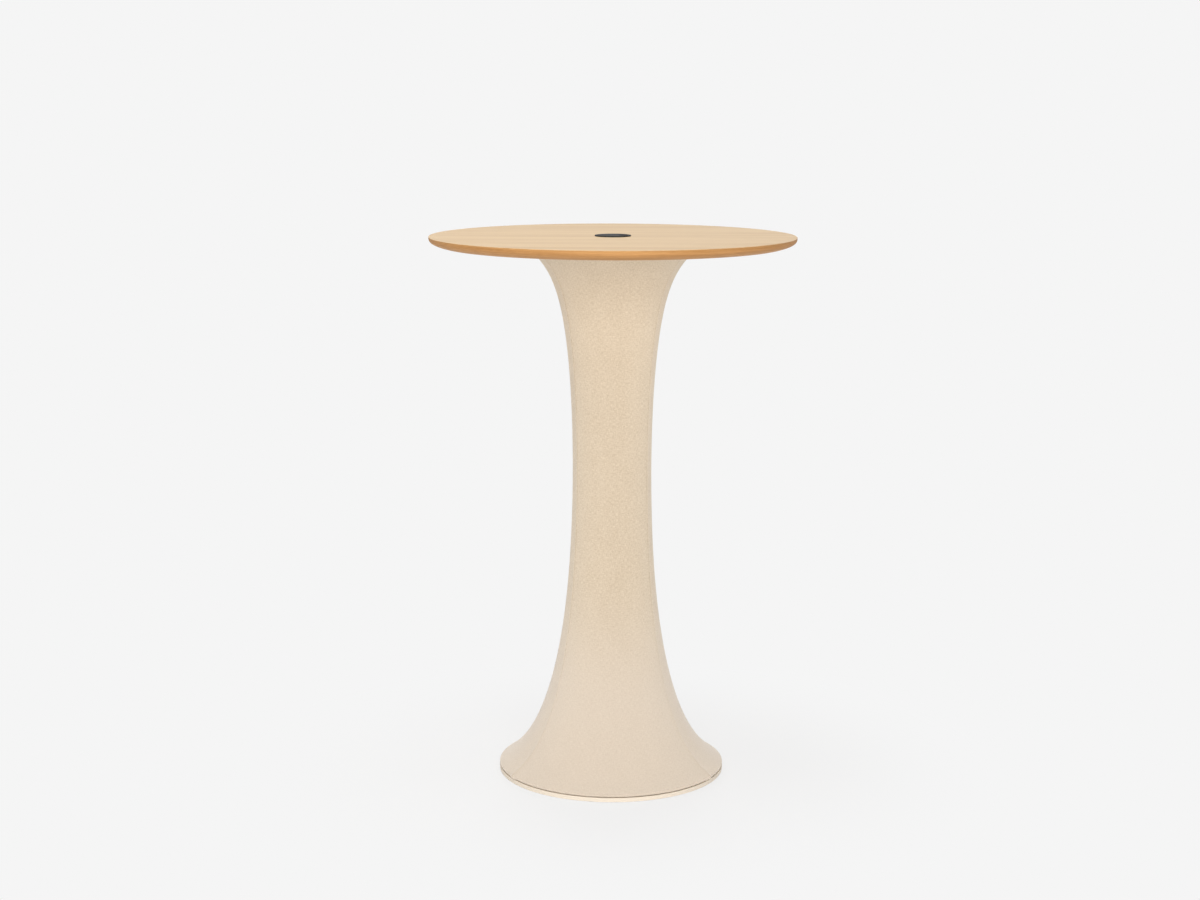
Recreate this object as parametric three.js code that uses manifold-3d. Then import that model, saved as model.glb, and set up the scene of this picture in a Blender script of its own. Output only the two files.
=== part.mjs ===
// Standing meeting table: a round veneered top on a steel column, with a fabric sleeve stretched
// between a ring under the top and a ring on the base plate. Millimetres, +Z up. The origin is on
// the floor, on the centre line of the column. The front is -Y.
import * as THREE from "three";
import { mergeVertices } from "three/addons/utils/BufferGeometryUtils.js";
import Module from "manifold-3d";

const wasm = await Module();
wasm.setup();

// Driving dimensions
const TABLE_HEIGHT = 1050;
const TOP_RADIUS = 350;
const TOP_THICKNESS = 19;
const BASE_RADIUS = 220;
const BASE_THICKNESS = 8;
const FEET_PROUD = 1;
const COLUMN_RADIUS = 38;
const COLUMN_WALL = 2;
const GROMMET_HOLE_RADIUS = 31;

// Gap left between pieces that touch, and the thinner one of a glued or clamped joint
const GAP = 0.3;
const GLUE_GAP = 0.1;

// How far a cutter passes the face that it opens
const OVERCUT = 1;

// Heights that follow from them
const TOP_UNDERSIDE = TABLE_HEIGHT - TOP_THICKNESS;
const BASE_TOP = FEET_PROUD + BASE_THICKNESS;

// Broken edges of the base plate
const BASE_CHAMFER = 0.6;

// Table-top: core board between two veneers, with a solid wood lipping whose edge curves under
const VENEER = 0.6;
const LIPPING_WIDTH = 35;
const EDGE_CURVE_WIDTH = 26;
const EDGE_CURVE_POWER = 3.3;
const EDGE_CURVE_STEPS = 5;

// Fabric sleeve: thickness, hem roll and turned-in ends
const FABRIC = 1.3;
const HEM_ROLL = 3.6;
const HEM_LIFT = 1.2;
const HEM_TURN_IN = 16;
const TOP_ROLL = 2;
const TOP_TURN_IN = 20;
const HEM_BLEND = 1.6 * HEM_ROLL;
const TOP_BLEND = 2;
const HEM_HEIGHT = BASE_TOP + HEM_LIFT + HEM_ROLL;
const HEM_CENTRE = BASE_RADIUS - HEM_ROLL;

// Sleeve curve: a core radius, with two flares that fade upwards from the hem and two that fade
// downwards from the table-top, each as reach times exp(-distance / fade)
const SLEEVE_CORE = 65.3;
const HEM_FLARES = [
  { reach: 33.9, fade: 32.9 },
  { reach: 123.4, fade: 192.7 },
];
const TOP_FLARES = [
  { reach: 40.4, fade: 38.3 },
  { reach: 61.8, fade: 171.9 },
];

// The three panels that the sleeve is sewn from, by the direction of their middle; the seams stand
// at the back and 60 degrees to either side of the front
const PANELS = [
  { name: "fabric_panel_front", middle: -Math.PI / 2 },
  { name: "fabric_panel_right", middle: Math.PI / 6 },
  { name: "fabric_panel_left", middle: (5 * Math.PI) / 6 },
];

// Rings that hold the sleeve
const LOWER_RING_THICKNESS = 4;
const LOWER_RING_INNER = 182;
const UPPER_RING_THICKNESS = 15.5;
const UPPER_RING_INNER = 122;
const UPPER_RING_INSET = 2.8;
const UPPER_RING_ARRIS_HEIGHT = 2;
const UPPER_RING_ARRIS_WIDTH = 1;

// Column end plates
const TOP_PLATE_RADIUS = 118;
const TOP_PLATE_THICKNESS = 6;
const FLANGE_RADIUS = 75;
const FLANGE_THICKNESS = 8;

// Cable way: window at the back of the column's foot, and slot through the back rim of the base
const WINDOW_WIDTH = 24;
const WINDOW_LOW = 20;
const WINDOW_HIGH = 60;
const CABLE_SLOT_WIDTH = 20;
const CABLE_SLOT_INNER = 150;

// Cable grommet: a sleeve in the top, a keyed cap that lifts out and a cover that turns on the cap
const GROMMET_FLANGE_RADIUS = 34.5;
const GROMMET_FLANGE = 2;
const GROMMET_RIM_ROUND = 0.8;
const GROMMET_RECESS_RADIUS = 29.2;
const GROMMET_BORE_RADIUS = 27.6;
const GROMMET_DEPTH = 18;
const LEDGE_DEPTH = 2.4;
const CAP_THICKNESS = 1.4;
const CAP_SKIRT = 1.5;
const CAP_SKIRT_DEPTH = 8;
const COVER_PIN_RADIUS = 3;
const COVER_PIN_BARB = 0.9;
const PIN_BARB_LENGTH = 2;
const PIN_BARB_EDGE = 0.8;
const COVER_SINK = 0.2;
const COVER_CHAMFER = 0.4;
const NOTCH_WIDTH = 16;
const NOTCH_CENTRE = 19;
const KEY_WIDTH = 4;
const KEY_DEPTH = 1.8;
const KEY_END = 1;
const KEY_ROOT = 0.5;
const KEY_SLOT_ROOF = 0.5;

// Levelling feet
const FOOT_CIRCLE = 165;
const PAD_RADIUS = 14;
const PAD_HEIGHT = 3;
const PAD_CHAMFER = 1;
const PAD_SEAT = 1.1;
const PAD_CLEARANCE = 1.2;
const STUD_RADIUS = 4;
const STUD_TOP = 26;
const STUD_CHAMFER = 1;

// Fasteners: bolt circles, shank radii and head sizes
const FLANGE_BOLT_CIRCLE = 57;
const FLANGE_BOLT = { shank: 4, head: 7.6, top: BASE_TOP + 7, socket: 2.5 };
const LOWER_RING_CIRCLE = 196;
const LOWER_RING_SCREW = { shank: 2, head: 4, top: HEM_HEIGHT + 1.6, socket: 1.25 };
const SPACER_RADIUS = 6;
const TOP_PLATE_CIRCLE = 95;
const TOP_PLATE_SCREW = { shank: 3, head: 5, headHeight: 4, top: TABLE_HEIGHT - 6, socket: 2.5 };
const INSERT_RADIUS = 5;
const INSERT_LENGTH = 12;
const INSERT_DEPTH = 1;
const INSERT_CLEARANCE = 1;
const HEAD_CHAMFER = 0.5;
const COUNTERSUNK_SOCKET_DEPTH = 1.4;
const UPPER_RING_CIRCLE = 135;
const UPPER_RING_SCREW = { shank: 2, head: 4, headHeight: 2.6, top: TABLE_HEIGHT - 8, socket: 1.5 };

// Sides of the large discs, the middle-sized pieces, the sleeve and its rings, and the small pieces
const DISC_SIDES = 64;
const PIECE_SIDES = 36;
const SLEEVE_SIDES = 36;
const SLEEVE_STEPS = 12;
const PAD_SIDES = 16;
const FASTENER_SIDES = 10;
const HOLE_SIDES = 10;

const DIAGONAL = Math.PI / 4;

// Finishes, one for each real material
function finish(color, roughness, metalness) {
  return new THREE.MeshStandardMaterial({ color, roughness, metalness });
}
const FACE_VENEER = finish(0xe3caab, 0.5, 0);
const OILED_LIPPING = finish(0xd09d66, 0.45, 0);
const CORE_BOARD = finish(0xc9ad84, 0.8, 0);
const BIRCH_PLY = finish(0xdcc49a, 0.7, 0);
const BLACK_PLASTIC = finish(0x2b2d2f, 0.35, 0);
const IVORY_POWDER_COAT = finish(0xf3e6d3, 0.5, 0.1);
const BLACK_PAINT = finish(0x2a2a2a, 0.5, 0.2);
const ZINC_STEEL = finish(0xb4b7ba, 0.35, 0.9);
const STRETCH_FABRIC = finish(0xe0cdb2, 0.9, 0);
const GREY_NYLON = finish(0x5a5a5a, 0.6, 0);

// A solid turned about the vertical centre line from a profile of [radius, height] points, which
// runs up the outside and either meets the centre line at both ends or closes on itself
function turned(profile, sides) {
  const points = profile.map(([radius, height]) => new THREE.Vector2(radius, height));
  const meetsCentreLine = profile[0][0] === 0;
  const outline = meetsCentreLine ? points : [...points, points[0].clone()];
  return new THREE.LatheGeometry(outline, sides).rotateX(Math.PI / 2);
}

// A flat ring between two radii and two heights
function flatRing(inner, outer, low, high, sides) {
  return turned([[inner, low], [outer, low], [outer, high], [inner, high]], sides);
}

// A round or conical cutter standing upright
function roundCutter(x, y, low, high, lowRadius, highRadius = lowRadius) {
  const geometry = new THREE.CylinderGeometry(highRadius, lowRadius, high - low, HOLE_SIDES);
  return geometry.rotateX(Math.PI / 2).translate(x, y, (low + high) / 2);
}

// A hexagonal key socket on the centre line
function hexCutter(radius, low, high) {
  const geometry = new THREE.CylinderGeometry(radius, radius, high - low, 6);
  return geometry.rotateX(Math.PI / 2).translate(0, 0, (low + high) / 2);
}

// A slot along +X with a round inner end, open at its outer end
function slotCutter(width, innerCentre, outer, low, high) {
  const shape = new THREE.Shape();
  shape.moveTo(outer, -width / 2);
  shape.lineTo(outer, width / 2);
  shape.lineTo(innerCentre, width / 2);
  shape.absarc(innerCentre, 0, width / 2, Math.PI / 2, (3 * Math.PI) / 2, false);
  shape.closePath();
  const options = { depth: high - low, bevelEnabled: false, curveSegments: 12 };
  return new THREE.ExtrudeGeometry(shape, options).translate(0, 0, low);
}

function boxBlock(low, high) {
  const size = high.map((value, axis) => value - low[axis]);
  const middle = high.map((value, axis) => (value + low[axis]) / 2);
  return new THREE.BoxGeometry(...size).translate(...middle);
}

// Closed solid of a geometry, with its shared corners merged and collapsed triangles left out
function toSolid(geometry) {
  const bare = geometry.clone();
  bare.deleteAttribute("normal");
  bare.deleteAttribute("uv");
  const merged = mergeVertices(bare, 1e-4);
  const corners = [];
  for (let i = 0; i < merged.index.count; i += 3) {
    const triangle = [0, 1, 2].map((k) => merged.index.getX(i + k));
    if (new Set(triangle).size === 3) {
      corners.push(...triangle);
    }
  }
  const vertProperties = Float32Array.from(merged.attributes.position.array);
  const triVerts = Uint32Array.from(corners);
  return new wasm.Manifold(new wasm.Mesh({ numProp: 3, vertProperties, triVerts }));
}

function toGeometry(solid) {
  const { vertProperties, triVerts } = solid.getMesh();
  const geometry = new THREE.BufferGeometry();
  geometry.setAttribute("position", new THREE.BufferAttribute(vertProperties, 3));
  geometry.setIndex(new THREE.BufferAttribute(triVerts, 1));
  geometry.computeVertexNormals();
  return geometry;
}

function cut(geometry, cutters) {
  const whole = toSolid(geometry);
  return toGeometry(cutters.reduce((rest, cutter) => rest.subtract(toSolid(cutter)), whole));
}

function join(geometry, additions) {
  const first = toSolid(geometry);
  return toGeometry(additions.reduce((sum, addition) => sum.add(toSolid(addition)), first));
}

function piece(name, geometry, material, [x, y] = [0, 0]) {
  const mesh = new THREE.Mesh(geometry, material);
  mesh.name = name;
  mesh.position.set(x, y, 0);
  return mesh;
}

function assembly(...pieces) {
  const group = new THREE.Group();
  group.add(...pieces);
  return group;
}

// Places spread evenly on a circle about the centre line
function onCircle(count, radius, firstAngle) {
  return Array.from({ length: count }, (_, k) => {
    const angle = firstAngle + (2 * Math.PI * k) / count;
    return [radius * Math.cos(angle), radius * Math.sin(angle)];
  });
}

const FLANGE_BOLT_PLACES = onCircle(4, FLANGE_BOLT_CIRCLE, DIAGONAL);
const FOOT_PLACES = onCircle(4, FOOT_CIRCLE, DIAGONAL);
const LOWER_RING_PLACES = onCircle(6, LOWER_RING_CIRCLE, 0);
const TOP_PLATE_PLACES = onCircle(4, TOP_PLATE_CIRCLE, DIAGONAL);
const UPPER_RING_PLACES = onCircle(6, UPPER_RING_CIRCLE, 0);

// One piece for each place, numbered from 1
function repeated(name, geometry, material, places) {
  return places.map((place, k) => piece(`${name}_${k + 1}`, geometry, material, place));
}

// Edge curve of the table-top: upright at the top arris, turning under more and more with depth
function edgeRadius(depth) {
  return TOP_RADIUS - EDGE_CURVE_WIDTH * (depth / TOP_THICKNESS) ** EDGE_CURVE_POWER;
}

function makeTop() {
  const lippingInner = TOP_RADIUS - LIPPING_WIDTH;
  const coreRadius = lippingInner - GLUE_GAP;
  const coreLow = TOP_UNDERSIDE + VENEER + GLUE_GAP;
  const coreHigh = TABLE_HEIGHT - VENEER - GLUE_GAP;
  const insertHoleTop = TOP_UNDERSIDE + INSERT_DEPTH + INSERT_LENGTH + INSERT_CLEARANCE;
  const insertHoles = TOP_PLATE_PLACES.map(([x, y]) => (
    roundCutter(x, y, 0, insertHoleTop, INSERT_RADIUS + GAP)
  ));
  const screwHoles = UPPER_RING_PLACES.map(([x, y]) => (
    roundCutter(x, y, 0, UPPER_RING_SCREW.top + GAP, UPPER_RING_SCREW.shank + GAP)
  ));
  const holes = [...insertHoles, ...screwHoles];
  const core = flatRing(GROMMET_HOLE_RADIUS, coreRadius, coreLow, coreHigh, DISC_SIDES);
  const backingHigh = TOP_UNDERSIDE + VENEER;
  const backing = flatRing(GROMMET_HOLE_RADIUS, coreRadius, TOP_UNDERSIDE, backingHigh, DISC_SIDES);
  const face = flatRing(GROMMET_HOLE_RADIUS, TOP_RADIUS, TABLE_HEIGHT - VENEER, TABLE_HEIGHT, DISC_SIDES);

  const lippingHigh = TABLE_HEIGHT - VENEER - GLUE_GAP;
  const lippingProfile = [[lippingInner, lippingHigh], [lippingInner, TOP_UNDERSIDE]];
  for (let k = 0; k <= EDGE_CURVE_STEPS; k += 1) {
    const height = TOP_UNDERSIDE + ((lippingHigh - TOP_UNDERSIDE) * k) / EDGE_CURVE_STEPS;
    lippingProfile.push([edgeRadius(TABLE_HEIGHT - height), height]);
  }

  return assembly(
    piece("tabletop_core", cut(core, holes), CORE_BOARD),
    piece("backing_veneer", cut(backing, holes), FACE_VENEER),
    piece("face_veneer", face, FACE_VENEER),
    piece("edge_lipping", turned(lippingProfile, DISC_SIDES), OILED_LIPPING),
  );
}

function makeGrommet() {
  const flangeLow = TABLE_HEIGHT + GLUE_GAP;
  const flangeHigh = TABLE_HEIGHT + GROMMET_FLANGE;
  const ledge = TABLE_HEIGHT - LEDGE_DEPTH;
  const bodyRadius = GROMMET_HOLE_RADIUS - GAP;
  const bodyLow = TABLE_HEIGHT - GROMMET_DEPTH;
  const rimBulge = GROMMET_RIM_ROUND * (1 - Math.SQRT1_2);
  const sleeveProfile = [
    [GROMMET_BORE_RADIUS, bodyLow],
    [bodyRadius, bodyLow],
    [bodyRadius, flangeLow],
    [GROMMET_FLANGE_RADIUS, flangeLow],
    [GROMMET_FLANGE_RADIUS, flangeHigh - GROMMET_RIM_ROUND],
    [GROMMET_FLANGE_RADIUS - rimBulge, flangeHigh - rimBulge],
    [GROMMET_FLANGE_RADIUS - GROMMET_RIM_ROUND, flangeHigh],
    [GROMMET_RECESS_RADIUS, flangeHigh],
    [GROMMET_RECESS_RADIUS, ledge],
    [GROMMET_BORE_RADIUS, ledge],
  ];

  const keyInner = GROMMET_BORE_RADIUS - KEY_DEPTH;
  const skirtOuter = GROMMET_BORE_RADIUS - GAP;
  const skirtInner = skirtOuter - CAP_SKIRT;
  const capLow = ledge + GAP;
  const capHigh = capLow + CAP_THICKNESS;
  const skirtLow = capLow - CAP_SKIRT_DEPTH;
  const discRadius = GROMMET_RECESS_RADIUS - GAP;
  const key = boxBlock(
    [-(bodyRadius - KEY_ROOT), -KEY_WIDTH / 2, bodyLow + KEY_END],
    [-keyInner, KEY_WIDTH / 2, ledge - KEY_END],
  );
  const keySlot = boxBlock(
    [-bodyRadius, -KEY_WIDTH / 2 - GAP, skirtLow - OVERCUT],
    [-keyInner + GAP + CAP_SKIRT, KEY_WIDTH / 2 + GAP, capLow - KEY_SLOT_ROOF],
  );
  const pinHoleRadius = COVER_PIN_RADIUS + GAP;
  const capProfile = [
    [pinHoleRadius, capLow],
    [skirtInner, capLow],
    [skirtInner, skirtLow],
    [skirtOuter, skirtLow],
    [skirtOuter, capLow],
    [discRadius, capLow],
    [discRadius, capHigh],
    [pinHoleRadius, capHigh],
  ];

  const coverLow = capHigh + GAP;
  const coverHigh = flangeHigh - COVER_SINK;
  const barbRadius = COVER_PIN_RADIUS + COVER_PIN_BARB;
  const barbHigh = capLow - GAP;
  const pinLow = barbHigh - PIN_BARB_LENGTH;
  const coverProfile = [
    [0, pinLow],
    [COVER_PIN_RADIUS, pinLow],
    [barbRadius, barbHigh - PIN_BARB_EDGE],
    [barbRadius, barbHigh],
    [COVER_PIN_RADIUS, barbHigh],
    [COVER_PIN_RADIUS, coverLow],
    [discRadius, coverLow],
    [discRadius, coverHigh - COVER_CHAMFER],
    [discRadius - COVER_CHAMFER, coverHigh],
    [0, coverHigh],
  ];
  const notchLow = skirtLow - OVERCUT;
  const notchHigh = flangeHigh + OVERCUT;
  const notch = slotCutter(NOTCH_WIDTH, NOTCH_CENTRE, TOP_RADIUS, notchLow, notchHigh);

  return assembly(
    piece("grommet_sleeve", join(turned(sleeveProfile, PIECE_SIDES), [key]), BLACK_PLASTIC),
    piece("grommet_cap", cut(turned(capProfile, PIECE_SIDES), [notch, keySlot]), BLACK_PLASTIC),
    piece("grommet_cover", cut(turned(coverProfile, PIECE_SIDES), [notch]), BLACK_PLASTIC),
  );
}

function makeColumn() {
  const bore = COLUMN_RADIUS - COLUMN_WALL;
  const plateHigh = TOP_UNDERSIDE - GLUE_GAP;
  const plateLow = plateHigh - TOP_PLATE_THICKNESS;
  const tubeLow = BASE_TOP + GLUE_GAP;
  const tubeHigh = plateLow - GLUE_GAP;
  const windowMiddle = (WINDOW_LOW + WINDOW_HIGH) / 2;
  const windowLength = WINDOW_HIGH - WINDOW_LOW;
  const windowShape = new THREE.Shape();
  const arcHeight = (windowLength - WINDOW_WIDTH) / 2;
  windowShape.absarc(0, arcHeight, WINDOW_WIDTH / 2, 0, Math.PI, false);
  windowShape.absarc(0, -arcHeight, WINDOW_WIDTH / 2, Math.PI, 2 * Math.PI, false);
  windowShape.closePath();
  const windowOptions = { depth: COLUMN_RADIUS, bevelEnabled: false, curveSegments: 6 };
  const windowCutter = new THREE.ExtrudeGeometry(windowShape, windowOptions);
  windowCutter.rotateX(Math.PI / 2).translate(0, COLUMN_RADIUS * 1.5, windowMiddle);

  const tube = flatRing(bore, COLUMN_RADIUS, tubeLow, tubeHigh, PIECE_SIDES);
  const plate = flatRing(bore, TOP_PLATE_RADIUS, plateLow, plateHigh, PIECE_SIDES);
  const plateHoles = TOP_PLATE_PLACES.map(([x, y]) => (
    roundCutter(x, y, plateLow - OVERCUT, plateHigh + OVERCUT, TOP_PLATE_SCREW.shank + GAP)
  ));
  const flangeHigh = tubeLow + FLANGE_THICKNESS;
  const flange = flatRing(COLUMN_RADIUS + GAP, FLANGE_RADIUS, tubeLow, flangeHigh, PIECE_SIDES);
  const flangeHoles = FLANGE_BOLT_PLACES.map(([x, y]) => (
    roundCutter(x, y, 0, flangeHigh + OVERCUT, FLANGE_BOLT.shank + GAP)
  ));

  return assembly(
    piece("column_tube", cut(tube, [windowCutter]), BLACK_PAINT),
    piece("column_top_plate", cut(plate, plateHoles), BLACK_PAINT),
    piece("column_foot_flange", cut(flange, flangeHoles), BLACK_PAINT),
  );
}

// Cutters for a countersunk hole from the underside of the base plate
function countersink([x, y], { shank, head }) {
  const coneHeight = head - shank;
  const through = roundCutter(x, y, 0, BASE_TOP + OVERCUT, shank + GAP);
  const cone = roundCutter(
    x, y, FEET_PROUD - OVERCUT, FEET_PROUD + coneHeight, head + GAP + OVERCUT, shank + GAP,
  );
  return [through, cone];
}

function makeBase() {
  const plateProfile = [
    [0, FEET_PROUD],
    [BASE_RADIUS - BASE_CHAMFER, FEET_PROUD],
    [BASE_RADIUS, FEET_PROUD + BASE_CHAMFER],
    [BASE_RADIUS, BASE_TOP - BASE_CHAMFER],
    [BASE_RADIUS - BASE_CHAMFER, BASE_TOP],
    [0, BASE_TOP],
  ];
  const footHoles = FOOT_PLACES.flatMap(([x, y]) => [
    roundCutter(x, y, 0, BASE_TOP + OVERCUT, STUD_RADIUS + GAP),
    roundCutter(x, y, 0, PAD_HEIGHT + GAP, PAD_RADIUS + PAD_CLEARANCE),
  ]);
  const boltHoles = FLANGE_BOLT_PLACES.flatMap((place) => countersink(place, FLANGE_BOLT));
  const screwHoles = LOWER_RING_PLACES.flatMap((place) => countersink(place, LOWER_RING_SCREW));
  const slotEnd = BASE_RADIUS + 10 * OVERCUT;
  const slot = slotCutter(CABLE_SLOT_WIDTH, CABLE_SLOT_INNER, slotEnd, 0, BASE_TOP + OVERCUT);
  slot.rotateZ(Math.PI / 2);
  const cutters = [...footHoles, ...boltHoles, ...screwHoles, slot];
  return assembly(piece("base_plate", cut(turned(plateProfile, DISC_SIDES), cutters), IVORY_POWDER_COAT));
}

function makeFeet() {
  const padProfile = [
    [0, 0],
    [PAD_RADIUS - PAD_CHAMFER, 0],
    [PAD_RADIUS, PAD_CHAMFER],
    [PAD_RADIUS, PAD_HEIGHT],
    [STUD_RADIUS + GAP, PAD_HEIGHT],
    [STUD_RADIUS + GAP, PAD_SEAT],
    [0, PAD_SEAT],
  ];
  const studProfile = [
    [0, PAD_SEAT + GAP],
    [STUD_RADIUS, PAD_SEAT + GAP],
    [STUD_RADIUS, STUD_TOP - STUD_CHAMFER],
    [STUD_RADIUS - STUD_CHAMFER, STUD_TOP],
    [0, STUD_TOP],
  ];
  return assembly(
    ...repeated("levelling_pad", turned(padProfile, PAD_SIDES), GREY_NYLON, FOOT_PLACES),
    ...repeated("levelling_stud", turned(studProfile, FASTENER_SIDES), ZINC_STEEL, FOOT_PLACES),
  );
}

// Outer radius of the sleeve at a height, and how fast it changes there
function sleeveRadius(height) {
  const fromHem = HEM_FLARES.map(({ reach, fade }) => reach * Math.exp(-(height - HEM_HEIGHT) / fade));
  const fromTop = TOP_FLARES.map(({ reach, fade }) => reach * Math.exp(-(TOP_UNDERSIDE - height) / fade));
  return [...fromHem, ...fromTop].reduce((sum, flare) => sum + flare, SLEEVE_CORE);
}

function sleeveSlope(height) {
  const step = 0.5;
  return (sleeveRadius(height + step) - sleeveRadius(height - step)) / (2 * step);
}

// A point of the sleeve's outer face, with the direction that the face looks in as an angle
function facePoint(radius, height, angle) {
  return { radius, height, angle };
}

function rollPoints(centre, height, roll, fromAngle, toAngle, steps) {
  return Array.from({ length: steps + 1 }, (_, k) => {
    const angle = fromAngle + ((toAngle - fromAngle) * k) / steps;
    return facePoint(centre + roll * Math.cos(angle), height + roll * Math.sin(angle), angle);
  });
}

// The sleeve's outer face from the hem's turned-in end, round the hem, up the trumpet, round the
// upper ring and in under the table-top
function sleeveFace() {
  const down = -Math.PI / 2;
  const up = Math.PI / 2;
  const faceAngle = (height) => Math.atan2(-sleeveSlope(height), 1);
  const hemLeave = faceAngle(HEM_HEIGHT + HEM_ROLL);
  const rollTop = TOP_UNDERSIDE - GAP - GLUE_GAP;
  const topRollHeight = rollTop - TOP_ROLL;
  const topLeave = faceAngle(topRollHeight - TOP_ROLL);
  const bodyLow = HEM_HEIGHT + HEM_BLEND;
  const rollStart = topRollHeight + TOP_ROLL * Math.sin(topLeave);
  const bodyHigh = rollStart - TOP_BLEND;
  const topCentre = sleeveRadius(rollStart) - TOP_ROLL * Math.cos(topLeave);
  const body = Array.from({ length: SLEEVE_STEPS + 1 }, (_, k) => {
    const share = (1 - Math.cos((Math.PI * k) / SLEEVE_STEPS)) / 2;
    const height = bodyLow + (bodyHigh - bodyLow) * share;
    return facePoint(sleeveRadius(height), height, faceAngle(height));
  });
  return [
    facePoint(HEM_CENTRE - HEM_TURN_IN + HEM_ROLL, HEM_HEIGHT - HEM_ROLL, down),
    ...rollPoints(HEM_CENTRE, HEM_HEIGHT, HEM_ROLL, down, hemLeave, 3),
    ...body,
    ...rollPoints(topCentre, topRollHeight, TOP_ROLL, topLeave, up, 2),
    facePoint(topCentre - TOP_TURN_IN, rollTop, up),
  ];
}

// A wedge that holds one third of the sleeve, half a seam's gap short of the seam on either side
function panelWedge(middle) {
  const apex = GAP / 2 / Math.sin(Math.PI / 3);
  const corner = (turn, length) => [
    apex * Math.cos(middle) + length * Math.cos(middle + turn),
    apex * Math.sin(middle) + length * Math.sin(middle + turn),
  ];
  const shape = new THREE.Shape();
  shape.moveTo(...corner(0, 0));
  shape.lineTo(...corner(-Math.PI / 3, TOP_RADIUS));
  shape.lineTo(...corner(0, 2 * TOP_RADIUS));
  shape.lineTo(...corner(Math.PI / 3, TOP_RADIUS));
  shape.closePath();
  return new THREE.ExtrudeGeometry(shape, { depth: TABLE_HEIGHT, bevelEnabled: false });
}

function makeSleeve() {
  const face = sleeveFace();
  const outside = face.map(({ radius, height }) => [radius, height]);
  const inside = face.map(({ radius, height, angle }) => [
    radius - FABRIC * Math.cos(angle),
    height - FABRIC * Math.sin(angle),
  ]);
  const sleeve = toSolid(turned([...outside, ...inside.reverse()], SLEEVE_SIDES));
  const panels = PANELS.map(({ name, middle }) => (
    piece(name, toGeometry(sleeve.intersect(toSolid(panelWedge(middle)))), STRETCH_FABRIC)
  ));

  const lowerHalf = LOWER_RING_THICKNESS / 2;
  const roundEdge = rollPoints(HEM_CENTRE, HEM_HEIGHT, lowerHalf, -Math.PI / 2, Math.PI / 2, 2);
  const lowerProfile = [
    [LOWER_RING_INNER, HEM_HEIGHT - lowerHalf],
    ...roundEdge.map(({ radius, height }) => [radius, height]),
    [LOWER_RING_INNER, HEM_HEIGHT + lowerHalf],
  ];
  const lowerHoles = LOWER_RING_PLACES.map(([x, y]) => (
    roundCutter(x, y, 0, HEM_HEIGHT + LOWER_RING_THICKNESS, LOWER_RING_SCREW.shank + GAP)
  ));

  const upperHigh = TOP_UNDERSIDE - 2 * GAP - GLUE_GAP - FABRIC;
  const upperLow = upperHigh - UPPER_RING_THICKNESS;
  const arrisHeight = upperHigh - UPPER_RING_ARRIS_HEIGHT;
  const arrisRadius = sleeveRadius(arrisHeight) - UPPER_RING_INSET;
  const upperProfile = [
    [UPPER_RING_INNER, upperLow],
    [sleeveRadius(upperLow) - UPPER_RING_INSET, upperLow],
    [arrisRadius, arrisHeight],
    [arrisRadius - UPPER_RING_ARRIS_WIDTH, upperHigh],
    [UPPER_RING_INNER, upperHigh],
  ];
  const upperHoles = UPPER_RING_PLACES.map(([x, y]) => (
    roundCutter(x, y, upperLow - OVERCUT, upperHigh + OVERCUT, UPPER_RING_SCREW.shank + GAP)
  ));

  const spacerLow = BASE_TOP + GLUE_GAP;
  const spacerHigh = HEM_HEIGHT - lowerHalf - GLUE_GAP;
  const spacer = flatRing(
    LOWER_RING_SCREW.shank + GAP, SPACER_RADIUS, spacerLow, spacerHigh, HOLE_SIDES,
  );

  return assembly(
    ...panels,
    piece("lower_sleeve_ring", cut(turned(lowerProfile, SLEEVE_SIDES), lowerHoles), ZINC_STEEL),
    piece("upper_sleeve_ring", cut(turned(upperProfile, SLEEVE_SIDES), upperHoles), BIRCH_PLY),
    ...repeated("ring_spacer", spacer, GREY_NYLON, LOWER_RING_PLACES),
  );
}

// A countersunk screw with its flat head flush in the underside of the base plate
function countersunkScrew({ shank, head, top, socket }) {
  const headLow = FEET_PROUD + GAP;
  const profile = [
    [0, headLow],
    [head - GAP, headLow],
    [shank, headLow + head - shank - GAP],
    [shank, top],
    [0, top],
  ];
  const socketCutter = hexCutter(socket, headLow - OVERCUT, headLow + COUNTERSUNK_SOCKET_DEPTH);
  return cut(turned(profile, FASTENER_SIDES), [socketCutter]);
}

// A screw driven upwards, with its head under the plate or ring that it holds
function upwardScrew({ shank, head, headHeight, top, socket }, seat) {
  const headHigh = seat - GLUE_GAP;
  const headLow = headHigh - headHeight;
  const profile = [
    [0, headLow],
    [head - HEAD_CHAMFER, headLow],
    [head, headLow + HEAD_CHAMFER],
    [head, headHigh],
    [shank, headHigh],
    [shank, top],
    [0, top],
  ];
  const socketCutter = hexCutter(socket, headLow - OVERCUT, headLow + headHeight / 2);
  return cut(turned(profile, FASTENER_SIDES), [socketCutter]);
}

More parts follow.
